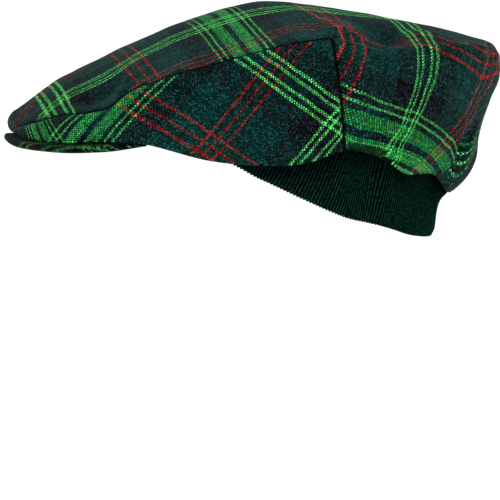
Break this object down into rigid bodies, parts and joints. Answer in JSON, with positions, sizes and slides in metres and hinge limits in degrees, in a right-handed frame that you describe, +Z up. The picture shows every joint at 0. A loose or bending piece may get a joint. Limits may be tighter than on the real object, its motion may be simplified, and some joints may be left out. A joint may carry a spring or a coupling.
{
  "type": "flat cap with knitted ear flap",
  "caption": "Soft tartan flat cap with a low rounded crown, stiff front peak and a ribbed knitted flap folded down over the ears and nape to keep the head warm.",
  "frame": {"origin": "middle of the head opening, at the height of the rim beside it, where the head carries the cap", "axes": "+Z up; -X forwards, the way the peak points; -Y to the wearer's left"},
  "size_m": [0.2997, 0.1908, 0.1426],
  "materials": {
    "tartan_wool": "woven wool in a green, navy, black and red check, matt with a faint nap",
    "rib_knit": "dark green ribbed wool knit, matt"
  },
  "bodies": {
    "root": {"centre_panel": "tartan_wool", "side_panel_left": "tartan_wool", "side_panel_right": "tartan_wool", "peak": "tartan_wool", "ear_flap": "rib_knit"}
  },
  "joints": []
}
